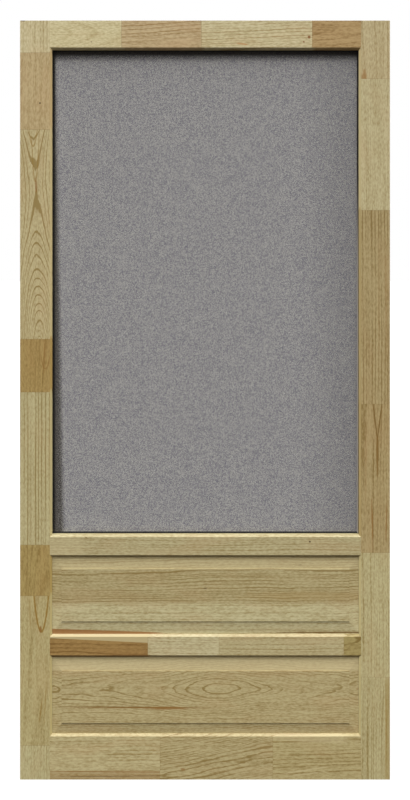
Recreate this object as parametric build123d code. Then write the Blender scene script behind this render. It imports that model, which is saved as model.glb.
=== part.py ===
from build123d import *
import os

# Screen door leaf of unfinished pine: two stiles and four rails, each glued up from finger-jointed
# blocks, two raised panels floating in grooves, and an insect screen held by a spline in the large
# opening above them.
# X runs from the hinge edge to the latch edge, the front face looks towards -Y, and Z is up.
# The origin is on the hinge edge, half-way through the thickness, at the bottom of the leaf.
# All sizes are in millimetres.

# Leaf
door_width = 990.6
door_height = 2032.0
door_thickness = 28.6

# Frame members, and the openings below the screen
left_stile_width = 85.5
right_stile_width = 83.0
bottom_rail_width = 121.0
lower_panel_opening = 206.4
mid_rail_width = 60.4
upper_panel_opening = 208.0
lock_rail_width = 59.0
top_rail_width = 77.5

# Bevelled inner edges of the front, the outer arrises, and the groove that takes panels and tenons
chamfer_width = 5.5
chamfer_depth = 5.5
arris = 1.0
groove_width = 12.0
groove_depth = 12.0
tenon_shoulder = 10.0
tenon_end_gap = 0.5

# Finger joints inside a member: the joint is straight on the faces and toothed on the edges
finger_length = 10.0
finger_tip = 0.8
finger_count = 5

# Lengths of the blocks, first from the lower or left end inwards, then from the upper or right end
# inwards; one block between the two lists takes the rest
left_stile_blocks = [91.0, 400.5, 136.5, 409.0, 142.0], [86.0, 206.0]
right_stile_blocks = [274.0, 333.0, 398.0], [156.0, 352.0]
bottom_rail_blocks = [289.0], [231.0]
mid_rail_blocks = [256.5, 190.5], [41.0]
lock_rail_blocks = [], []
top_rail_blocks = [186.0, 214.0], [125.5]

# Raised panels: the tongue, the four slopes and the raised field, and how far each panel has slipped
# in its grooves
panel_float = 5.5
tongue_margin = 5.0
upright_bevel_width = 33.5
side_bevel_width = 25.5
field_setback = 3.5
field_shoulder = 2.2
upper_panel_risen = 1.0
lower_panel_sunk = 4.6
upper_panel_lower_board = 81.5

# Insect screen, with a plain grid of openings in place of its fine mesh, the wooden stop behind it and
# the spline that holds it
screen_setback = 21.0
screen_thickness = 0.6
grid_columns = 10
grid_rows = 16
grid_hole = 25.5
stop_width = 12.0
stop_reveal = 1.0
spline_width = 3.2
spline_seat_depth = 3.5
spline_crown = 1.0

# Places that follow from the sizes above
half_thickness = door_thickness / 2
lower_panel_bottom = bottom_rail_width
lower_panel_top = lower_panel_bottom + lower_panel_opening
upper_panel_bottom = lower_panel_top + mid_rail_width
upper_panel_top = upper_panel_bottom + upper_panel_opening
screen_bottom = upper_panel_top + lock_rail_width
screen_top = door_height - top_rail_width
opening_left = left_stile_width
opening_right = door_width - right_stile_width
cut_margin = 5.0


def prism(points, direction, length):
    """Closed outline of points, drawn out along a direction."""
    return extrude(make_face(Polyline(*points, close=True)), amount=length, dir=direction)


def block_between(low, high):
    """Box between two opposite corners."""
    size = [b - a for a, b in zip(low, high)]
    return Pos(*low) * Box(*size, align=(Align.MIN, Align.MIN, Align.MIN))


# Frame members

def stile_profile(width):
    """Section of a stile as points (x, y), outer edge at x = 0."""
    return [
        (0, -half_thickness + arris),
        (arris, -half_thickness),
        (width - chamfer_width, -half_thickness),
        (width, -half_thickness + chamfer_depth),
        (width, half_thickness),
        (arris, half_thickness),
        (0, half_thickness - arris),
    ]


def stile(width):
    """Whole stile at the left edge, with its panel groove and the mortise for the top rail."""
    body = prism([(x, y, 0) for x, y in stile_profile(width)], (0, 0, 1), door_height)
    groove_floor = width - groove_depth
    groove_top = screen_bottom - tenon_shoulder
    groove = block_between(
        (groove_floor, -groove_width / 2, -cut_margin),
        (width + cut_margin, groove_width / 2, groove_top),
    )
    mortise = block_between(
        (groove_floor, -groove_width / 2, screen_top + tenon_shoulder),
        (width + cut_margin, groove_width / 2, door_height - tenon_shoulder),
    )
    return body - groove - mortise


def right_stile():
    """A stile of the right one's width, mirrored across the middle of the leaf."""
    return mirror(stile(right_stile_width), about=Plane.YZ.offset(door_width / 2))


def rail_edge(z, outward, bevelled, grooved):
    """Points (y, z) of one long edge of a rail, from the front face to the back face."""
    if not bevelled:
        return [(-half_thickness, z), (half_thickness, z)]
    bevel = [(-half_thickness, z - outward * chamfer_width), (-half_thickness + chamfer_depth, z)]
    groove = []
    if grooved:
        floor = z - outward * groove_depth
        side = groove_width / 2
        groove = [(-side, z), (-side, floor), (side, floor), (side, z)]
    return bevel + groove + [(half_thickness, z)]


def rail(bottom, top, bottom_edge, top_edge, stiles):
    """A rail with stub tenons, its shoulders cut to fit over the bevels of the stiles."""
    lower = rail_edge(bottom, -1, *bottom_edge)
    upper = rail_edge(top, 1, *top_edge)
    outline = lower + list(reversed(upper))
    tenon_length = groove_depth - tenon_end_gap
    start = opening_left - tenon_length
    length = opening_right + tenon_length - start
    blank = prism([(start, y, z) for y, z in outline], (1, 0, 0), length)
    return blank - stiles[0] - stiles[1]


# Finger joints

def finger_line(place):
    """Toothed line (y, along) across the thickness, straight with the faces at its two ends."""
    pitch = door_thickness / finger_count
    line = [(-half_thickness - cut_margin, place)]
    for finger in range(finger_count):
        root = -half_thickness + finger * pitch
        middle = root + pitch / 2
        line += [
            (root + finger_tip / 2, place),
            (middle - finger_tip / 2, place + finger_length),
            (middle + finger_tip / 2, place + finger_length),
            (root + pitch - finger_tip / 2, place),
        ]
    line.append((half_thickness + cut_margin, place))
    return line


def straight_line(place):
    """Line (y, along) past one end of a member."""
    return [(-half_thickness - cut_margin, place), (half_thickness + cut_margin, place)]


def joint_lines(block_lengths, start, end):
    """Lines that part a member into its blocks, from beyond one end to beyond the other."""
    from_start, from_end = block_lengths
    places = [start + sum(from_start[:count + 1]) for count in range(len(from_start))]
    places += reversed([end - sum(from_end[:count + 1]) for count in range(len(from_end))])
    first = straight_line(start - groove_depth - cut_margin)
    last = straight_line(end + groove_depth + cut_margin)
    return [first, *map(finger_line, places), last]


def stile_blocks(name, whole_stile, block_lengths):
    """The blocks of a stile, numbered from the bottom."""
    lines = joint_lines(block_lengths, 0, door_height)
    blocks = {}
    for number, (low, high) in enumerate(zip(lines, lines[1:]), start=1):
        outline = [(-cut_margin, y, z) for y, z in low + list(reversed(high))]
        zone = prism(outline, (1, 0, 0), door_width + 2 * cut_margin)
        blocks[f"{name}_{number}"] = whole_stile & zone
    return blocks


def rail_blocks(name, whole_rail, block_lengths):
    """The blocks of a rail, numbered from the left."""
    lines = joint_lines(block_lengths, opening_left, opening_right)
    if len(lines) == 2:
        return {name: whole_rail}
    blocks = {}
    for number, (low, high) in enumerate(zip(lines, lines[1:]), start=1):
        outline = [(x, y, -cut_margin) for y, x in low + list(reversed(high))]
        zone = prism(outline, (0, 0, 1), door_height + 2 * cut_margin)
        blocks[f"{name}_{number}"] = whole_rail & zone
    return blocks


def frame_blocks():
    """Every block of the two stiles and four rails."""
    stiles = [stile(left_stile_width), right_stile()]
    plain, bevelled, grooved = (False, False), (True, False), (True, True)
    bottom_rail = rail(0, lower_panel_bottom, plain, grooved, stiles)
    mid_rail = rail(lower_panel_top, upper_panel_bottom, grooved, grooved, stiles)
    lock_rail = rail(upper_panel_top, screen_bottom, grooved, bevelled, stiles)
    top_rail = rail(screen_top, door_height, bevelled, plain, stiles)
    return {
        **stile_blocks("left_stile", stiles[0], left_stile_blocks),
        **stile_blocks("right_stile", stiles[1], right_stile_blocks),
        **rail_blocks("bottom_rail", bottom_rail, bottom_rail_blocks),
        **rail_blocks("mid_rail", mid_rail, mid_rail_blocks),
        **rail_blocks("lock_rail", lock_rail, lock_rail_blocks),
        **rail_blocks("top_rail", top_rail, top_rail_blocks),
    }


# Raised panels

def raised_section(start, end, bevel_width):
    """Section (along, y) through a panel in the middle of an opening from start to end."""
    tongue = groove_depth - panel_float
    field = half_thickness - field_setback
    half_tongue = groove_width / 2
    near = [
        (start - tongue, -half_tongue),
        (start + tongue_margin, -half_tongue),
        (start + bevel_width, -field + field_shoulder),
        (start + bevel_width, -field),
    ]
    far = [(start + end - along, y) for along, y in reversed(near)]
    front = near + far
    back = [(along, -y) for along, y in reversed(front)]
    return front + back


def raised_panel(bottom, top, risen):
    """A panel with a tongue, four sloping bevels and a raised field on both faces."""
    low = bottom - groove_depth
    left = opening_left - groove_depth
    height = top - bottom + 2 * groove_depth
    width = opening_right - opening_left + 2 * groove_depth
    section = raised_section(opening_left, opening_right, side_bevel_width)
    across = [(x, y, low) for x, y in section]
    section = raised_section(bottom, top, upright_bevel_width)
    upright = [(left, y, z) for z, y in section]
    panel = prism(across, (0, 0, 1), height) & prism(upright, (1, 0, 0), width)
    return Pos(0, 0, risen) * panel


def upper_panel_boards():
    """The upper panel, edge-glued from two boards."""
    panel = raised_panel(upper_panel_bottom, upper_panel_top, upper_panel_risen)
    glue_line = upper_panel_bottom + upper_panel_lower_board
    below = block_between(
        (0, -half_thickness, lower_panel_top),
        (door_width, half_thickness, glue_line),
    )
    return {
        "upper_panel_lower_board": panel & below,
        "upper_panel_upper_board": panel - below,
    }


# Screen, stops and splines

def on_side(side, inward, y, along):
    """Point of the screen opening, measured inward from one of its sides."""
    places = {
        "left": (opening_left + inward, y, along),
        "right": (opening_right - inward, y, along),
        "bottom": (along, y, screen_bottom + inward),
        "top": (along, y, screen_top - inward),
    }
    return places[side]


def side_run(side):
    """Start, length and direction of one side of the screen opening."""
    if side in ("left", "right"):
        return screen_bottom, screen_top - screen_bottom, (0, 0, 1)
    return opening_left, opening_right - opening_left, (1, 0, 0)


def mitre_zone(side, width):
    """Part of the opening that a strip of this width takes on one side, cut at 45 degrees."""
    start, length, _ = side_run(side)
    corners = [(0, start), (width, start + width), (width, start + length - width), (0, start + length)]
    outline = [on_side(side, inward, -half_thickness, along) for inward, along in corners]
    return prism(outline, (0, 1, 0), door_thickness)


def screen_plane():
    """Depth y of the wooden ledge on which the screen lies."""
    return -half_thickness + screen_setback + screen_thickness


def stop(side):
    """Wooden stop behind the screen, with a rebate beside the frame for the spline."""
    start, length, direction = side_run(side)
    ledge = screen_plane()
    seat = ledge + spline_seat_depth
    back = half_thickness - stop_reveal
    section = [(0, seat), (spline_width, seat), (spline_width, ledge), (stop_width, ledge)]
    section += [(stop_width, back), (0, back)]
    strip = prism([on_side(side, inward, y, start) for inward, y in section], direction, length)
    return strip & mitre_zone(side, stop_width)


def spline(side):
    """Vinyl spline with a rounded crown, pressed in between the frame and the stop."""
    start, length, direction = side_run(side)
    seat = screen_plane() + spline_seat_depth
    shoulder = screen_plane() - screen_thickness
    crown = shoulder - spline_crown
    sides = [(0, shoulder), (0, seat), (spline_width, seat), (spline_width, shoulder)]
    points = [on_side(side, inward, y, start) for inward, y in sides]
    middle = on_side(side, spline_width / 2, crown, start)
    outline = Polyline(*points) + ThreePointArc(points[-1], middle, points[0])
    strip = extrude(make_face(outline), amount=length, dir=direction)
    return strip & mitre_zone(side, spline_width)


def insect_screen():
    """The stretched screen between the splines, as a thin pierced sheet lying on the stops."""
    width = opening_right - opening_left - 2 * spline_width
    height = screen_top - screen_bottom - 2 * spline_width
    holes = GridLocations(width / grid_columns, height / grid_rows, grid_columns, grid_rows)
    outline = Rectangle(width, height) - holes * Rectangle(grid_hole, grid_hole)
    middle = Pos((opening_left + opening_right) / 2, screen_plane(), (screen_bottom + screen_top) / 2)
    return middle * Rot(90, 0, 0) * extrude(outline, amount=screen_thickness)


def screen_parts():
    """The screen with its four stops and four splines."""
    parts = {"insect_screen": insect_screen()}
    for side in ("left", "right", "bottom", "top"):
        parts[f"screen_stop_{side}"] = stop(side)
        parts[f"screen_spline_{side}"] = spline(side)
    return parts


parts = {
    **frame_blocks(),
    "lower_panel": raised_panel(lower_panel_bottom, lower_panel_top, -lower_panel_sunk),
    **upper_panel_boards(),
    **screen_parts(),
}

os.makedirs("parts", exist_ok=True)
for node, shape in parts.items():
    export_step(shape, f"parts/{node}.step")
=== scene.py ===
import math
from collections import namedtuple
from functools import partial

import bmesh
import bpy
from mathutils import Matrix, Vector


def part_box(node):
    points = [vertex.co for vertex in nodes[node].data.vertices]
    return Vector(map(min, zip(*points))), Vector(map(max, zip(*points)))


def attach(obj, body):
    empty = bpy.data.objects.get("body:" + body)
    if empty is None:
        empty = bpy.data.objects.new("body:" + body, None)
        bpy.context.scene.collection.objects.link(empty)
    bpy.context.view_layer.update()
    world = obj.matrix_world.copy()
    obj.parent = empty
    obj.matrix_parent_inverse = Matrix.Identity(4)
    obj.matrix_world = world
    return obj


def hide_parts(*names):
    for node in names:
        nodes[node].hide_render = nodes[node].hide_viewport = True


# Screen door leaf: pine blocks, each with its own grain, and a screen of separate strands.
# Blender works in metres. The looks are written in millimetres of the leaf, X across and Z up.

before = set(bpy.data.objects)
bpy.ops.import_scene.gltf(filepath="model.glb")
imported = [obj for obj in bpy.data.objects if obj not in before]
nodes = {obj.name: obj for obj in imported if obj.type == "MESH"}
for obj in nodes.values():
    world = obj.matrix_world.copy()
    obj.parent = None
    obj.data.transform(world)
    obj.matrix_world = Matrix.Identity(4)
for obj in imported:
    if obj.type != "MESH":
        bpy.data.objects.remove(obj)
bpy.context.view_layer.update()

MM = 1000.0                         # millimetres in a metre
MIX_A, MIX_B, MIX_OUT = 6, 7, 2     # the Mix node's colours, whose names its other sockets share


# Shader nodes

def linear(colour):
    """Scene colour of an 8-bit display colour."""
    out = []
    for value in colour:
        value = value / 255
        out.append(value / 12.92 if value <= 0.04045 else ((value + 0.055) / 1.055) ** 2.4)
    return (*out, 1.0)


def shade(colour, shares):
    """An 8-bit colour with each channel times its share."""
    return [min(255, value * share) for value, share in zip(colour, shares)]


class Shader:
    """Node tree of a material or world, with short calls that add a node and return its output."""

    def __init__(self, owner):
        owner.use_nodes = True
        self.owner = owner
        self.tree = owner.node_tree
        self.tree.nodes.clear()

    def add_node(self, kind, inputs, **settings):
        node = self.tree.nodes.new(kind)
        for key, value in settings.items():
            setattr(node, key, value)
        for key, value in inputs.items():
            socket = node.inputs[key]
            if isinstance(value, bpy.types.NodeSocket):
                self.tree.links.new(value, socket)
            else:
                socket.default_value = value
        return node

    def add(self, kind, inputs, output=0, **settings):
        return self.add_node(kind, inputs, **settings).outputs[output]

    def math(self, operation, a, b=0.0, c=0.0, clamp=False):
        inputs = {0: a, 1: b, 2: c}
        return self.add("ShaderNodeMath", inputs, operation=operation, use_clamp=clamp)

    def plus(self, a, b):
        return self.math("ADD", a, b)

    def minus(self, a, b):
        return self.math("SUBTRACT", a, b)

    def times(self, a, b):
        return self.math("MULTIPLY", a, b)

    def over(self, a, b):
        return self.math("DIVIDE", a, b)

    def times_plus(self, a, b, c):
        return self.math("MULTIPLY_ADD", a, b, c)

    def larger(self, a, b):
        return self.math("MAXIMUM", a, b)

    def absolute(self, a):
        return self.math("ABSOLUTE", a)

    def hypotenuse(self, a, b):
        return self.math("SQRT", self.plus(self.times(a, a), self.times(b, b)))

    def centred(self, value, span):
        """A value from 0 to 1 as a swing of that span about 0."""
        return self.times_plus(value, span, -span / 2)

    def ramp_up(self, value, low, high):
        """Smooth step from 0 at low to 1 at high."""
        inputs = {"Value": value, "From Min": low, "From Max": high}
        return self.add("ShaderNodeMapRange", inputs, interpolation_type="SMOOTHSTEP")

    def split(self, vector):
        """The X, Y and Z of a vector."""
        return tuple(self.add_node("ShaderNodeSeparateXYZ", {0: vector}).outputs)

    def times_plus_vector(self, a, b, c):
        return self.add("ShaderNodeVectorMath", {0: a, 1: b, 2: c}, operation="MULTIPLY_ADD")

    def place(self, middle=(0.0, 0.0, 0.0)):
        """Place on the leaf in mm, from the middle given."""
        place = self.add("ShaderNodeTexCoord", {}, output="Object")
        return self.times_plus_vector(place, (MM, MM, MM), [-value for value in middle])

    def noise(self, place, scales, detail, seed):
        """Noise from 0 to 1 about a half, with a scale in cycles per mm for each axis."""
        moved = self.times_plus_vector(place, scales, (seed, seed * 1.7, seed * 0.6))
        return self.add("ShaderNodeTexNoise", {"Vector": moved, "Scale": 1.0, "Detail": detail})

    def mix(self, factor, a, b):
        inputs = {0: factor, MIX_A: a, MIX_B: b}
        return self.add("ShaderNodeMix", inputs, MIX_OUT, data_type="RGBA", clamp_factor=True)

    def surface(self, colour, roughness, height, bump_distance, specular):
        inputs = {"Height": height, "Distance": bump_distance, "Strength": 1.0}
        normal = self.add("ShaderNodeBump", inputs)
        inputs = {"Base Color": colour, "Roughness": roughness, "Normal": normal,
                  "Specular IOR Level": specular}
        self.add_output(self.add("ShaderNodeBsdfPrincipled", inputs))

    def add_output(self, shader, kind="ShaderNodeOutputMaterial"):
        self.add_node(kind, {"Surface": shader})


# A layer of noise: its scale in cycles per mm for each axis, its detail and its seed.
Layer = namedtuple("Layer", "scales detail seed")
PLAIN_DETAIL = 2.0


# Pine

# Layers in the wood: across the face, through the board and along the grain, with a seed that is
# counted from the block's own.
RIPPLE = Layer((0.05, 0.05, 0.012), 3.0, 3)
FIBRE = Layer((0.8, 0.8, 0.016), 3.0, 5)
STREAK = Layer((0.13, 0.13, 0.0035), 2.0, 7)
PATCH = Layer((0.02, 0.02, 0.004), 1.0, 9)
CLOUD = Layer((0.035, 0.035, 0.02), 2.0, 11)
CANAL = Layer((1.3, 1.3, 0.05), 1.0, 13)
FLECK = Layer((0.3, 0.3, 0.1), 2.0, 15)
BLUSH = Layer((0.02, 0.02, 0.006), 2.0, 17)

# Rings. A ring runs from 0 to 1, and its dark late wood begins at the look's onset.
WANDER_SCALE = 0.006                # cycles per mm, across and through
WIDTH_DRIFT = 0.31                  # cycles per ring of the change in ring width
WIDTH_SPAN = 1.6                    # rings
LATE_FULL = 0.92
LATE_END = (1.0, 0.94)
RING_STRENGTH = (0.75, 0.35)        # span and least
PATCH_EDGES = (0.3, 0.62)
PATCH_STRENGTH = (0.7, 0.3)         # span and least

# Knots, streaks and bands
RAGGED_SCALES = (0.12, 0.12, 0.05)
RAGGED_SPAN = {"spot": 0.9, "arch": 0.9, "band": 0.35}
RAGGED_SEED = 0.01                  # per mm of the mark's X
MASK_EDGES = (1.15, 0.45)           # clear and full, in half-sizes from the middle
ARCH_END, BAND_END = 6.0, 3.0       # the power with which the distance grows along the mark

# How dark the wood is, from 0 for early wood to 1 for late wood
LINE_DARKNESS = 1.2
LAYER_SPANS = ((STREAK, 0.7), (CLOUD, 0.36), (FLECK, 1.7))
FIBRE_SPAN = 0.5
CANAL_EDGES = (0.68, 0.76)
CANAL_DARKNESS = 0.3
MEAN_DARKNESS = 0.24

# Colours, as shares of the tone. The first makes up for what the lamps add.
LAMP_SHARES = (0.975, 0.99, 0.98)
EARLY_SHARES = (1.07, 1.085, 1.13)
LATE_SHARES = (0.8, 0.745, 0.61)
BLUSH_SHARES = (1.03, 0.94, 0.93)
# The bevel shares, edges and most paint a highlight: the side bevels are drawn paler than the face.
BEVEL_HIGHLIGHT_SHARES = (1.22, 1.22, 1.22)
BLUSH_EDGES, BLUSH_MOST = (0.45, 0.75), 0.25
BEVEL_HIGHLIGHT_EDGES, BEVEL_HIGHLIGHT_MOST = (0.3, 0.4), 0.8
GLUE, GLUE_EDGES, GLUE_MOST = (112, 88, 44), (1.3, 0.4), 0.5

WOOD_ROUGHNESS, LINE_GLOSS, FIBRE_ROUGHNESS = 0.46, -0.1, 0.12
LINE_HEIGHT, WOOD_BUMP, WOOD_SPECULAR = 0.45, 0.00012, 0.25


class Grain:
    """Place in one block's wood, in mm from the block's middle: across the face, through the
    board (depth), and along the grain (length)."""

    def __init__(self, shader, upright, middle):
        self.shader = shader
        self.upright = upright
        self.middle = middle
        x, self.depth, z = shader.split(shader.place(middle))
        self.across, self.length = self.turned(x, z)
        inputs = {0: self.across, 1: self.depth, 2: self.length}
        self.place = shader.add("ShaderNodeCombineXYZ", inputs)

    def turned(self, x, z):
        """X and Z of the leaf as across and along the grain."""
        return (x, z) if self.upright else (z, x)

    def at(self, x, z):
        """A point of the leaf as its place across and along the grain."""
        return self.turned(x - self.middle.x, z - self.middle.z)

    def noise(self, layer, seed):
        return self.shader.noise(self.place, layer.scales, layer.detail, seed + layer.seed)


def crest_rise(grain, where, bow, limit):
    """How far the heart moves towards or away from the face, going away from a crest."""
    shader = grain.shader
    _, middle = grain.at(where, where)      # only its place along the grain counts
    away = shader.minus(grain.length, middle)
    rise = shader.times(shader.times(away, away), bow)
    return shader.over(rise, shader.times_plus(rise, math.copysign(1 / limit, bow), 1.0))


def rings(grain, look):
    """Dark latewood lines, from 0 to 1: rings round a heart that leans through the board."""
    shader, seed = grain.shader, look["seed"]
    heart, lean = look["heart"], look["lean"]
    wander = shader.noise(grain.place, (WANDER_SCALE, WANDER_SCALE, look["bend"]), PLAIN_DETAIL,
                          seed)
    side = shader.plus(grain.across, shader.times_plus(grain.length, -lean[0], -heart[0]))
    side = shader.plus(side, shader.centred(wander, 2 * look["wave"]))
    deep = shader.plus(grain.depth, shader.times_plus(grain.length, -lean[1], -heart[1]))
    if look["crest"]:
        deep = shader.plus(deep, crest_rise(grain, *look["crest"]))
    radius = shader.hypotenuse(side, deep)
    radius = shader.times_plus(grain.noise(RIPPLE, seed), look["ripple"], radius)
    count = shader.over(radius, look["ring"])
    inputs = {"W": shader.times_plus(count, WIDTH_DRIFT, seed), "Scale": 1.0, "Detail": 1.0}
    uneven = shader.add("ShaderNodeTexNoise", inputs, noise_dimensions="1D")
    count = shader.times_plus(uneven, WIDTH_SPAN, count)
    number = shader.math("FLOOR", count)
    part = shader.minus(count, number)
    line = shader.times(shader.ramp_up(part, look["onset"], LATE_FULL),
                        shader.ramp_up(part, *LATE_END))
    strength = shader.add("ShaderNodeTexWhiteNoise", {"W": number}, noise_dimensions="1D")
    strength = shader.times_plus(strength, *RING_STRENGTH)
    patch = shader.ramp_up(grain.noise(PATCH, seed), *PATCH_EDGES)
    patch = shader.times_plus(patch, *PATCH_STRENGTH)
    return shader.times(line, shader.times(strength, patch))


# A mark in the wood: its place on the leaf, half-width and half-length in mm, turn in degrees (or
# an arch's bow in 1/mm), strength and colour. A spot is an ellipse: a knot, streak or stain. An
# arch is a curved line. A band is a change of tone on one side of a line: the left or lower side
# where its half-width is above 0, and the other side where it is below 0.
Feature = namedtuple("Feature", "kind x z wide long turn strength colour")
spot, arch, band = (partial(Feature, kind) for kind in ("spot", "arch", "band"))


def arch_distance(shader, u, v, feature):
    """Distance from a bowed line in half-widths, which grows fast past its half-length."""
    bow = feature.turn
    off = shader.absolute(shader.minus(v, shader.times(shader.times(u, u), bow)))
    slope = shader.plus(shader.times(shader.absolute(u), abs(2 * bow)), 1.0)
    off = shader.over(shader.over(off, slope), feature.wide)
    reach = shader.over(shader.absolute(u), feature.long)
    return shader.plus(off, shader.math("POWER", reach, ARCH_END))


def turned_distance(shader, u, v, feature):
    """Distance from a turned spot's middle in half-sizes, or from a band's line."""
    turn = math.radians(feature.turn)
    p = shader.plus(shader.times(u, math.cos(turn)), shader.times(v, math.sin(turn)))
    q = shader.minus(shader.times(v, math.cos(turn)), shader.times(u, math.sin(turn)))
    p, q = shader.over(p, feature.wide), shader.over(q, feature.long)
    if feature.kind == "band":
        p = shader.larger(p, 0.0)
        q = shader.math("POWER", shader.absolute(q), BAND_END)
    return shader.hypotenuse(p, q)


def feature_mask(grain, feature):
    """Soft mask of a feature, through the wood."""
    shader = grain.shader
    across, along = grain.at(feature.x, feature.z)
    u, v = shader.minus(grain.across, across), shader.minus(grain.length, along)
    measure = arch_distance if feature.kind == "arch" else turned_distance
    ragged = shader.noise(grain.place, RAGGED_SCALES, PLAIN_DETAIL, feature.x * RAGGED_SEED)
    ragged = shader.centred(ragged, RAGGED_SPAN[feature.kind])
    distance = shader.plus(measure(shader, u, v, feature), ragged)
    return shader.times(shader.ramp_up(distance, *MASK_EDGES), feature.strength)


def painted_bevel_highlight(shader):
    """Mask of a painted highlight: the routed bevels of the upright pieces, where the normal leans
    in X and Y, are drawn paler.
    """
    x, y, _ = shader.split(shader.add("ShaderNodeTexCoord", {}, output="Normal"))
    lean = shader.absolute(shader.times(x, y))
    return shader.times(shader.ramp_up(lean, *BEVEL_HIGHLIGHT_EDGES), BEVEL_HIGHLIGHT_MOST)


PINE = dict(
    heart=(20.0, 60.0), lean=(0.0, 0.02), ring=7.0, wave=14.0, ripple=4.0, bend=0.0016,
    contrast=0.8, onset=0.55, seed=1.0, crest=None, features=[],
)


def pine(name, upright, middle, seam, look):
    """Planed, unfinished pine with rings, fibres, resin canals, its own knots and streaks, and a
    painted highlight on its side bevels.
    """
    look = {**PINE, **look}
    seed = look["seed"]
    shader = Shader(bpy.data.materials.new(name))
    grain = Grain(shader, upright, middle)
    line = rings(grain, look)
    fibre = grain.noise(FIBRE, seed)

    dark = shader.times(line, LINE_DARKNESS * look["contrast"])
    dark = shader.plus(dark, shader.centred(fibre, FIBRE_SPAN))
    for layer, span in LAYER_SPANS:
        dark = shader.plus(dark, shader.centred(grain.noise(layer, seed), span))
    canal = shader.ramp_up(grain.noise(CANAL, seed), *CANAL_EDGES)
    dark = shader.times_plus(canal, CANAL_DARKNESS, dark)
    dark = shader.math("ADD", dark, MEAN_DARKNESS, clamp=True)

    tone = shade(look["tone"], LAMP_SHARES)
    early, late, blushed, highlighted = (
        linear(shade(tone, shares))
        for shares in (EARLY_SHARES, LATE_SHARES, BLUSH_SHARES, BEVEL_HIGHLIGHT_SHARES)
    )
    colour = shader.mix(dark, early, late)
    blush = shader.times(shader.ramp_up(grain.noise(BLUSH, seed), *BLUSH_EDGES), BLUSH_MOST)
    colour = shader.mix(blush, colour, blushed)
    # Painted highlight: the side bevels are drawn paler.
    colour = shader.mix(painted_bevel_highlight(shader), colour, highlighted)
    for feature in look["features"]:
        colour = shader.mix(feature_mask(grain, feature), colour, linear(feature.colour))
    if seam is not None:
        glue = shader.absolute(shader.minus(grain.length, seam))
        glue = shader.times(shader.ramp_up(glue, *GLUE_EDGES), GLUE_MOST)
        colour = shader.mix(glue, colour, linear(GLUE))

    roughness = shader.times_plus(line, LINE_GLOSS, WOOD_ROUGHNESS)
    roughness = shader.times_plus(fibre, FIBRE_ROUGHNESS, roughness)
    height = shader.times_plus(line, LINE_HEIGHT, fibre)
    shader.surface(colour, roughness, height, WOOD_BUMP, WOOD_SPECULAR)
    return shader.owner


BROWN = (128, 92, 44)
KNOT = (80, 56, 28)
RESIN = (134, 106, 46)
# PALE serves both pale streaks in the wood and the painted highlight on the panels' top bevels.
PALE = (188, 174, 134)

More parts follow.
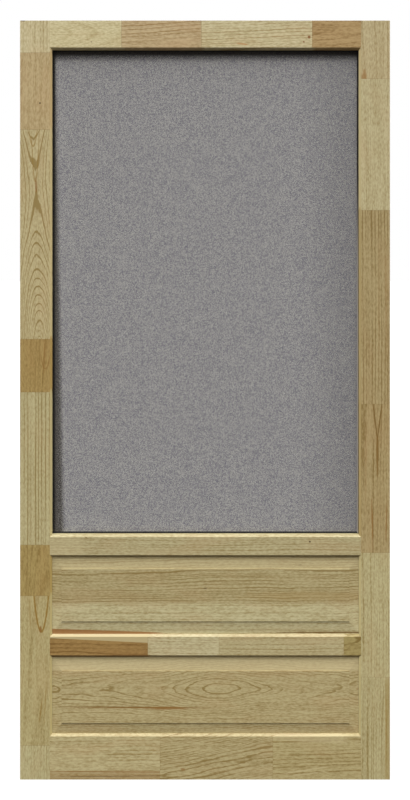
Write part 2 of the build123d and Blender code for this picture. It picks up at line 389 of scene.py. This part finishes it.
# Looks of the blocks. The tone is the wood's mean colour. The heart is where the rings are centred,
# across the block and behind its middle, in mm, and the lean is how fast it moves along the block,
# which makes the rings run out as arches. A ring's width, the rings' wave and their ripple are in
# mm, and the bend is the wave's cycles per mm along the grain. The contrast is how dark the rings
# are, and the onset how far into a ring the dark wood begins. A crest is the place along the block
# where the rings come nearest the face or lie deepest, how fast they move away from there, and by
# how much at most.
LOOKS = {
    "left_stile_1": dict(tone=(171, 158, 116), heart=(-70, 20), ring=7, contrast=0.3, seed=1.2),
    "left_stile_2": dict(
        tone=(166, 150, 105), heart=(14, 60), lean=(0.03, 0.02), ring=8, contrast=0.35, seed=2.3,
        features=[
            arch(57, 396, 2.2, 27, 0.25, 1.0, RESIN), spot(55, 402, 3.8, 10, 0, 0.9, BROWN),
            spot(27, 440, 1.8, 50, 2, 0.55, RESIN), spot(56, 187, 2.2, 50, -7, 0.75, RESIN),
            spot(68, 210, 1.8, 60, -3, 0.65, RESIN),
        ],
    ),
    "left_stile_3": dict(
        tone=(152, 129, 78), heart=(30, 40), lean=(0, 0.1), ring=9, wave=22, contrast=0.35,
        seed=3.1,
    ),
    "left_stile_4": dict(
        tone=(170, 156, 115), heart=(-200, 10), ring=9.5, wave=7, ripple=2, contrast=1.5, seed=4.6,
    ),
    "left_stile_5": dict(
        tone=(150, 124, 74), heart=(52, 30), lean=(0, 0.05), ring=9, wave=20, contrast=0.5,
        seed=5.2,
        features=[
            arch(68, 1100, 1.6, 14, 0.22, 0.6, BROWN), spot(65, 1130, 1.8, 60, -2, 0.6, BROWN),
        ],
    ),
    "left_stile_6": dict(
        tone=(174, 157, 116), heart=(2.5, 46.2), lean=(-0.026, 0.0), ring=4.0, wave=5, ripple=3,
        bend=0.004, contrast=1.8, onset=0.73, seed=6.4, crest=(1592, 0.0004, 200),
        features=[
            arch(35, 1696, 1.6, 15, 0.35, 0.65, RESIN), arch(41, 1602, 1.5, 12, 1.1, 0.7, RESIN),
            spot(43, 1590, 3.2, 26, 2, 0.8, BROWN),
        ],
    ),
    "left_stile_7": dict(
        tone=(171, 148, 107), heart=(60, 60), ring=11, contrast=0.12, seed=7.7,
        features=[spot(53.5, 1811, 2.2, 2.4, 0, 1.0, (60, 40, 18))],
    ),
    "left_stile_8": dict(
        tone=(188, 172, 133), heart=(-120, 30), ring=10, contrast=0.5, seed=8.1,
        features=[spot(7, 2031, 8, 2.0, 0, 0.9, KNOT)],
    ),
    "right_stile_1": dict(
        tone=(169, 155, 113), heart=(90, 30), ring=8, contrast=0.6, seed=9.3,
        features=[
            band(979, 100, -2.5, 190, 0, 0.5, (142, 120, 68)),
            spot(981, 150, 1.3, 120, 1, 0.6, RESIN),
        ],
    ),
    "right_stile_2": dict(tone=(172, 158, 116), heart=(-160, 20), ring=8, contrast=0.5, seed=10.4),
    "right_stile_3": dict(
        tone=(157, 136, 94), heart=(-40, 40), lean=(0.0, -0.01), ring=8, wave=16, contrast=0.7,
        seed=11.8,
        features=[
            spot(950.5, 962, 2.4, 68, 7, 0.9, (108, 82, 36)),
            spot(963.5, 962, 2.4, 68, -7, 0.9, (108, 82, 36)),
            spot(957, 868, 4.4, 66, 0, 0.9, (116, 88, 40)),
            spot(943, 690, 2.0, 80, 1.5, 0.85, BROWN), spot(981, 690, 2.0, 70, -1.5, 0.75, BROWN),
            spot(926, 830, 1.6, 150, 0, 0.4, BROWN),
        ],
    ),
    "right_stile_4": dict(
        tone=(157, 137, 96), heart=(-190, 30), ring=8, wave=8, contrast=1.2, seed=12.1,
        features=[
            spot(961, 1265, 2, 240, 0, 0.3, BROWN), spot(980, 1290, 2.4, 200, 0.5, 0.35, BROWN),
        ],
    ),
    "right_stile_5": dict(
        tone=(175, 160, 121), heart=(-140, 20), ring=5, wave=5, contrast=0.4, seed=13.9,
    ),
    "right_stile_6": dict(
        tone=(175, 157, 118), heart=(-60, 50), ring=9, contrast=0.5, seed=14.5,
        features=[spot(921, 1877, 8.5, 30, 0, 0.8, (142, 106, 58))],
    ),
    "top_rail_1": dict(
        tone=(193, 178, 137), heart=(8, 44), lean=(0.0, 0.14), ring=9, contrast=0.25, seed=15.2,
        features=[spot(191, 1975, 2.2, 2.2, 0, 0.6, KNOT)],
    ),
    "top_rail_2": dict(
        tone=(176, 152, 113), heart=(-60, 60), lean=(0.07, 0.0), ring=7, contrast=0.7, seed=16.6,
    ),
    "top_rail_3": dict(
        tone=(187, 172, 133), heart=(90, 20), lean=(0.03, 0.01), ring=7, wave=16, contrast=0.8,
        seed=17.7,
        features=[
            spot(774, 1988, 4, 4, 0, 0.95, (124, 80, 40)),
            spot(760, 1975, 3.4, 3.6, 0, 0.9, (124, 80, 40)),
            spot(597, 1969, 2.6, 20, 8, 0.7, (176, 124, 70)),
        ],
    ),
    "top_rail_4": dict(
        tone=(161, 132, 88), heart=(20, 40), lean=(0.0, 0.05), ring=9, wave=20, contrast=0.5,
        seed=18.3,
    ),
    "lock_rail": dict(
        tone=(168, 154, 115), heart=(-90, 20), ring=7, wave=12, contrast=0.55, seed=19.4,
        features=[
            spot(776, 637, 2.6, 3.2, 0, 0.95, (70, 46, 22)),
            spot(177, 648, 1.4, 5, 20, 0.8, (110, 84, 44)), band(136, 620, 40, 30, 90, 0.3, PALE),
        ],
    ),
    "mid_rail_1": dict(
        tone=(140, 109, 62), heart=(-40, 30), ring=8, wave=18, contrast=0.9, seed=20.8,
        features=[band(214, 373.3, -1.2, 400, 2.7, 0.9, (178, 163, 122))],
    ),
    "mid_rail_2": dict(tone=(176, 162, 124), heart=(-100, 20), ring=9, contrast=0.45, seed=21.5),
    "mid_rail_3": dict(tone=(169, 154, 114), heart=(60, 30), ring=8, contrast=0.5, seed=22.2),
    "mid_rail_4": dict(
        tone=(148, 130, 81), heart=(20, 30), lean=(0.0, 0.1), ring=8, contrast=1.2, seed=23.7,
    ),
    "bottom_rail_1": dict(
        tone=(172, 156, 114), heart=(-120, 20), ring=9, contrast=0.5, seed=24.9,
        features=[
            band(230, 22, 2.0, 400, 0, 0.4, BROWN), spot(230, 21, 1.3, 240, 0.5, 0.7, BROWN),
            spot(250, 9, 1.2, 200, -0.6, 0.6, KNOT),
        ],
    ),
    "bottom_rail_2": dict(
        tone=(164, 147, 105), heart=(-25, 16), lean=(0.2, 0.0), ring=6, wave=16, ripple=6,
        bend=0.005, contrast=0.9, seed=25.5,
        features=[spot(436, 28, 4, 9, 10, 0.7, BROWN)],
    ),
    "bottom_rail_3": dict(
        tone=(163, 146, 102), heart=(-80, 30), lean=(0.04, 0.0), ring=10, wave=12, contrast=0.7,
        seed=26.1,
        features=[
            band(760, 104, -3, 120, 3, 0.4, PALE), spot(765, 25, 2.2, 90, -9, 0.5, PALE),
            spot(760, 14, 1.8, 80, -8, 0.45, PALE),
        ],
    ),
    "lower_panel": dict(
        tone=(166, 149, 107), heart=(22, 20.1), lean=(0.0, 0.0), ring=4.6, wave=11, ripple=6,
        bend=0.009, contrast=1.0, onset=0.68, seed=27.3, crest=(539, -0.0012, 35),
        features=[
            spot(316, 192, 2.6, 215, 0.3, 0.95, (116, 84, 36)),
            # The PALE band above the field's top edge is a painted highlight on the top bevel.
            spot(391, 190, 4.6, 62, 0, 0.8, BROWN), band(495, 292, -3, 500, 0, 0.5, PALE),
            spot(94, 240, 2.4, 5, 0, 0.5, BROWN), spot(905, 240, 2.4, 5, 0, 0.5, BROWN),
        ],
    ),
    "upper_panel_upper_board": dict(
        tone=(162, 146, 105), heart=(-150, 20), lean=(0.01, 0.0), ring=7, wave=14, ripple=8,
        contrast=1.4, seed=28.8,
        features=[
            spot(770, 490, 16, 190, 0, 0.4, (148, 124, 76)), spot(496, 511, 1.8, 6, 0, 0.9, KNOT),
            # The PALE band above the field's top edge is a painted highlight on the top bevel.
            spot(751, 573, 1.6, 6, 0, 0.8, KNOT), band(495, 563, -4, 600, 0, 0.35, PALE),
        ],
    ),
    "upper_panel_lower_board": dict(
        tone=(176, 163, 123), heart=(-110, 20), ring=8, wave=8, contrast=0.4, seed=29.6,
        features=[
            band(220, 396, 1.2, 170, 1.9, 0.85, (138, 90, 42)),
            spot(850, 391.5, 2.6, 220, 0, 0.9, (96, 70, 30)),
        ],
    ),
}

STOP_LOOK = dict(tone=(160, 142, 100), heart=(-60, 20), ring=8, contrast=0.5)
STOP_SEED = 31.0


def block_material(name, look):
    """Pine for one node, centred on its box, with a glue line where it joins the block before."""
    low, high = (Vector(corner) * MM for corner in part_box(name))
    middle = (low + high) / 2
    upright = "stile" in name or name in ("screen_stop_left", "screen_stop_right")
    axis = 2 if upright else 0
    joined = name[-1].isdigit() and not name.endswith("_1")
    seam = low[axis] - middle[axis] if joined else None
    return pine(name, upright, middle, seam, look)


def dress(name, material):
    """Give a carried-over CAD node its material."""
    node = nodes[name]
    if not node.material_slots:
        node.data.materials.append(None)
    for slot in node.material_slots:
        slot.link = "OBJECT"
        slot.material = material


for name, look in LOOKS.items():
    dress(name, block_material(name, look))
for side in ("left", "right", "bottom", "top"):
    name = f"screen_stop_{side}"
    dress(name, block_material(name, {**STOP_LOOK, "seed": STOP_SEED + len(side)}))


# Spline

VINYL, DUST, VINYL_PAINTED_LIGHT = (17, 17, 19), (44, 42, 40), (172, 168, 162)
VINYL_GRAIN = Layer((0.9, 0.9, 0.9), 3.0, 2.0)
VINYL_DUST = Layer((0.05, 0.05, 0.05), 2.0, 5.0)
DUST_EDGES, DUST_MOST = (0.45, 0.75), 0.35
PAINTED_LIGHT_EDGES = (1650.0, 1350.0)         # height on the leaf in mm where the painted light is clear and full
VINYL_ROUGHNESS, VINYL_UNEVEN = 0.55, 0.25
VINYL_BUMP, VINYL_SPECULAR = 0.0003, 0.12


def vinyl(name, painted_light=0.0):
    """Black foamed vinyl with fine ridges and dust; where asked, its lower part is drawn pale grey,
    which is painted light.
    """
    shader = Shader(bpy.data.materials.new(name))
    place = shader.place()
    grain = shader.noise(place, *VINYL_GRAIN)
    dust = shader.ramp_up(shader.noise(place, *VINYL_DUST), *DUST_EDGES)
    colour = shader.mix(shader.times(dust, DUST_MOST), linear(VINYL), linear(DUST))
    # Painted light: the lower part is drawn pale grey.
    if painted_light:
        share = shader.ramp_up(shader.split(place)[2], *PAINTED_LIGHT_EDGES)
        colour = shader.mix(shader.times(share, painted_light), colour, linear(VINYL_PAINTED_LIGHT))
    roughness = shader.times_plus(grain, VINYL_UNEVEN, VINYL_ROUGHNESS)
    shader.surface(colour, roughness, grain, VINYL_BUMP, VINYL_SPECULAR)
    return shader.owner


spline_material = vinyl("black_vinyl")
for side in ("left", "bottom", "top"):
    dress(f"screen_spline_{side}", spline_material)
# The right spline is drawn black at the top and pale grey below, the grey light enough to make up
# for the shade in its recess: painted light.
dress("screen_spline_right", vinyl("painted_light_vinyl", 0.9))


# Insect screen

STRAND_PITCH = 0.0011
UPRIGHT_WIDTH = 0.00107
LEVEL_WIDTH = 0.00064
STRAND_THICKNESS = 0.00012
SHOULDER = 0.55                          # where a strand's flat ends, as a share of its half-width
LAYER_OFFSET = 0.45 * STRAND_THICKNESS   # of each layer from the middle, so that the two touch

UPRIGHT_STRANDS = Layer((0.5, 0.5, 0.02), 2.0, 1.0)
LEVEL_STRANDS = Layer((0.02, 0.5, 0.5), 2.0, 4.0)
SPECKS = Layer((0.48, 0.48, 0.48), 2.0, 6.0)
PATCHES = Layer((0.03, 0.03, 0.03), 2.0, 8.0)
YARN_DARK, YARN_PALE = (106, 104, 112), (154, 153, 148)
STRAND_SPAN, PATCH_SPAN, SPECK_SPAN, TONE_SHIFT = 0.4, 0.3, 4.6, 2.35
YARN_ROUGHNESS, YARN_UNEVEN = 0.6, 0.2
YARN_BUMP, YARN_SPECULAR = 0.00005, 0.15

# Painted shade: the cloth is drawn a little darker towards its right side, between these X in mm
PAINTED_RIGHT_SHADE, PAINTED_RIGHT_SHADE_EDGES, PAINTED_RIGHT_SHADE_MOST = (52, 50, 50), (720.0, 930.0), 0.3

# Painted shade: the stop behind the cloth, which lies in shade, drawn onto the yarn on the left as
# a dark strip that widens downwards
SHADE_STRIP_DARK, SHADE_STRIP_PALE, SHADE_STRIP_MOST = (46, 43, 38), (72, 68, 62), 0.9
STRIP_LEAN, STRIP_PLACE, STRIP_RAGGED = 0.0175, 126.0, 6.0
STRIP_EDGES = (11.0, -5.0)

# Painted shade: dark rims along the cloth's left, top and bottom edges, clear and full, in mm in
# from the cloth's edge
RIM_SHADE, RIM_SHADE_MOST = (22, 21, 20), 0.8
LEFT_RIM_SHADE, TOP_RIM_SHADE, BOTTOM_RIM_SHADE = (4.6, 2.1), (29.6, 5.6), (2.8, 1.4)


def strand_section(width):
    """Flattened section of a strand: points across its width and through its thickness."""
    half, thin = width / 2, STRAND_THICKNESS / 2
    shoulder = half * SHOULDER
    return [(-half, 0), (-shoulder, -thin), (shoulder, -thin),
            (half, 0), (shoulder, thin), (-shoulder, thin)]


def add_strand(mesh, start, end, width, side, out):
    """A straight strand between two points, with its section across side and out."""
    first, last = (
        [mesh.verts.new(point + side * a + out * b) for a, b in strand_section(width)]
        for point in (start, end)
    )
    count = len(first)
    for index in range(count):
        after = (index + 1) % count
        mesh.faces.new((first[index], first[after], last[after], last[index]))
    mesh.faces.new(list(reversed(first)))
    mesh.faces.new(last)


def places(low, high):
    """Even places for strands between two edges."""
    count = int((high - low) / STRAND_PITCH)
    margin = (high - low - (count - 1) * STRAND_PITCH) / 2
    return [low + margin + index * STRAND_PITCH for index in range(count)]


def screen_cloth():
    """Upright and level strands in two layers that touch, and the cloth's width and height."""
    low, high = (Vector(corner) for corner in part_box("insect_screen"))
    middle = (low.y + high.y) / 2
    front, back = middle - LAYER_OFFSET, middle + LAYER_OFFSET
    across, up, out = Vector((1, 0, 0)), Vector((0, 0, 1)), Vector((0, 1, 0))
    mesh = bmesh.new()
    for x in places(low.x, high.x):
        start, end = Vector((x, front, low.z)), Vector((x, front, high.z))
        add_strand(mesh, start, end, UPRIGHT_WIDTH, across, out)
    for z in places(low.z, high.z):
        start, end = Vector((low.x, back, z)), Vector((high.x, back, z))
        add_strand(mesh, start, end, LEVEL_WIDTH, up, out)
    bmesh.ops.recalc_face_normals(mesh, faces=mesh.faces)
    data = bpy.data.meshes.new("insect_screen_cloth")
    mesh.to_mesh(data)
    mesh.free()
    cloth = bpy.data.objects.new("insect_screen_cloth", data)
    bpy.context.scene.collection.objects.link(cloth)
    return cloth, (high.x - low.x, high.z - low.z)


def screen_yarn():
    """Grey vinyl-coated yarn, uneven along each strand, with painted shade: darker towards the
    right, a dark strip on the left, and dark rims at the left, top and bottom.
    """
    shader = Shader(bpy.data.materials.new("screen_yarn"))
    place = shader.place()
    x, _, z = shader.split(place)
    upright, level = shader.noise(place, *UPRIGHT_STRANDS), shader.noise(place, *LEVEL_STRANDS)
    speck, patch = shader.noise(place, *SPECKS), shader.noise(place, *PATCHES)
    tone = shader.times_plus(upright, STRAND_SPAN, shader.times(level, STRAND_SPAN))
    tone = shader.times_plus(patch, PATCH_SPAN, tone)
    tone = shader.times_plus(speck, SPECK_SPAN, tone)
    tone = shader.math("SUBTRACT", tone, TONE_SHIFT, clamp=True)
    colour = shader.mix(tone, linear(YARN_DARK), linear(YARN_PALE))
    # Painted shade: darker towards the cloth's right side.
    dim = shader.times(shader.ramp_up(x, *PAINTED_RIGHT_SHADE_EDGES), PAINTED_RIGHT_SHADE_MOST)
    colour = shader.mix(dim, colour, linear(PAINTED_RIGHT_SHADE))

    # Painted shade: the shaded stop is drawn as a dark strip on the left.
    edge = shader.plus(x, shader.times_plus(z, STRIP_LEAN, -STRIP_PLACE))
    edge = shader.times_plus(speck, STRIP_RAGGED, edge)
    strip = shader.times(shader.ramp_up(edge, *STRIP_EDGES), SHADE_STRIP_MOST)
    colour = shader.mix(strip, colour, shader.mix(tone, linear(SHADE_STRIP_DARK), linear(SHADE_STRIP_PALE)))

    # Painted shade: dark rims at the cloth's left, top and bottom edges.
    low, high = (Vector(corner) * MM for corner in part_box("insect_screen"))
    left = shader.ramp_up(x, *(low.x + inward for inward in LEFT_RIM_SHADE))
    top = shader.ramp_up(z, *(high.z - inward for inward in TOP_RIM_SHADE))
    bottom = shader.ramp_up(z, *(low.z + inward for inward in BOTTOM_RIM_SHADE))
    rim_shade_mask = shader.times(shader.larger(shader.larger(left, top), bottom), RIM_SHADE_MOST)
    colour = shader.mix(rim_shade_mask, colour, linear(RIM_SHADE))
    roughness = shader.times_plus(speck, YARN_UNEVEN, YARN_ROUGHNESS)
    shader.surface(colour, roughness, tone, YARN_BUMP, YARN_SPECULAR)
    return shader.owner


cloth, cloth_size = screen_cloth()
cloth.data.materials.append(screen_yarn())
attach(cloth, "root")
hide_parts("insect_screen")


# Floor, light and background

WHITE = (1, 1, 1, 1)
FLOOR_HALF = 40.0                        # metres
FLOOR_GLOW = 0.84                        # white together with the lit grey below
FLOOR_SEEN = (0.15, 0.15, 0.15, 1)
FLOOR_UNSEEN = (0.05, 0.038, 0.025, 1)   # what the floor throws back on the leaf
FILL = 0.04

# Soft lamps far away: the way from the leaf to the lamp, strength, and width in degrees
LAMP_AIM, LAMP_DISTANCE = (0.5, 0, 1), 5
LAMPS = {
    "key": ((0.02, -1.0, 1.0), 2.42, 34),
    "above": ((-0.05, -0.45, 1.0), 2.8, 30),
    "zenith": ((0.2, -0.05, 1.0), 1.5, 25),
    "left_back": ((-0.8, 0.7, 0.05), 2.1, 40),
    "right_back": ((0.8, 0.7, 0.05), 2.1, 40),
}


def white_when_seen(shader, seen, unseen):
    """The first shader for the camera, reflections and clear materials, the second for light."""
    path = shader.add_node("ShaderNodeLightPath", {})
    seen_ray = shader.larger(path.outputs["Is Camera Ray"], path.outputs["Is Glossy Ray"])
    seen_ray = shader.larger(seen_ray, path.outputs["Is Transmission Ray"])
    return shader.add("ShaderNodeMixShader", {0: seen_ray, 1: unseen, 2: seen})


def floor():
    """Pale floor that keeps the leaf's shadow."""
    data = bpy.data.meshes.new("floor")
    size = FLOOR_HALF
    corners = [(-size, -size, 0), (size, -size, 0), (size, size, 0), (-size, size, 0)]
    data.from_pydata(corners, [], [(0, 1, 2, 3)])
    plane = bpy.data.objects.new("floor", data)
    bpy.context.scene.collection.objects.link(plane)
    shader = Shader(bpy.data.materials.new("floor"))
    glow = shader.add("ShaderNodeEmission", {"Color": WHITE, "Strength": FLOOR_GLOW})
    lit = shader.add("ShaderNodeBsdfDiffuse", {"Color": FLOOR_SEEN})
    seen = shader.add("ShaderNodeAddShader", {0: glow, 1: lit})
    unseen = shader.add("ShaderNodeBsdfDiffuse", {"Color": FLOOR_UNSEEN})
    shader.add_output(white_when_seen(shader, seen, unseen))
    data.materials.append(shader.owner)


def background():
    """White where it is seen, and a weak even fill as light."""
    world = bpy.data.worlds.new("studio")
    bpy.context.scene.world = world
    shader = Shader(world)
    seen = shader.add("ShaderNodeBackground", {"Color": WHITE, "Strength": 1.0})
    fill = shader.add("ShaderNodeBackground", {"Color": WHITE, "Strength": FILL})
    shader.add_output(white_when_seen(shader, seen, fill), "ShaderNodeOutputWorld")


def sun(name, direction, strength, width):
    """Sun lamp that shines on the leaf from one side."""
    data = bpy.data.lights.new(name, "SUN")
    data.energy = strength
    data.angle = math.radians(width)
    lamp = bpy.data.objects.new(name, data)
    lamp.rotation_euler = Vector(direction).to_track_quat("Z", "Y").to_euler()
    lamp.location = Vector(LAMP_AIM) + Vector(direction).normalized() * LAMP_DISTANCE
    bpy.context.scene.collection.objects.link(lamp)


floor()
background()
for name, (direction, strength, width) in LAMPS.items():
    sun(name, direction, strength, width)


# Camera: level, above the middle of the leaf, with its frame moved down

PIXEL = 0.002677                         # metres on the leaf's face
PICTURE_HEIGHT = 800                     # pixels
BOTTOM_ROW = 779.6                       # the leaf's bottom edge in the photo, in pixels
CAMERA_DISTANCE, CAMERA_HEIGHT, CLIP_END = 3.5, 1.45, 100
LEAF_MIDDLE, LEAF_FACE = 0.4953, -0.0143
SENSOR = 36.0                            # mm, which the frame's height fills


def camera():
    """The photo's view: the leaf's face fills the same pixels."""
    frame_height = PICTURE_HEIGHT * PIXEL
    frame_middle = (BOTTOM_ROW - PICTURE_HEIGHT / 2) * PIXEL
    data = bpy.data.cameras.new("camera")
    data.sensor_width = SENSOR
    data.lens = SENSOR * CAMERA_DISTANCE / frame_height
    data.shift_y = (frame_middle - CAMERA_HEIGHT) / frame_height
    data.clip_end = CLIP_END
    eye = bpy.data.objects.new("camera", data)
    eye.location = (LEAF_MIDDLE, LEAF_FACE - CAMERA_DISTANCE, CAMERA_HEIGHT)
    eye.rotation_euler = (math.radians(90), 0, 0)
    bpy.context.scene.collection.objects.link(eye)
    bpy.context.scene.camera = eye


camera()
bpy.context.scene.view_settings.view_transform = "Standard"
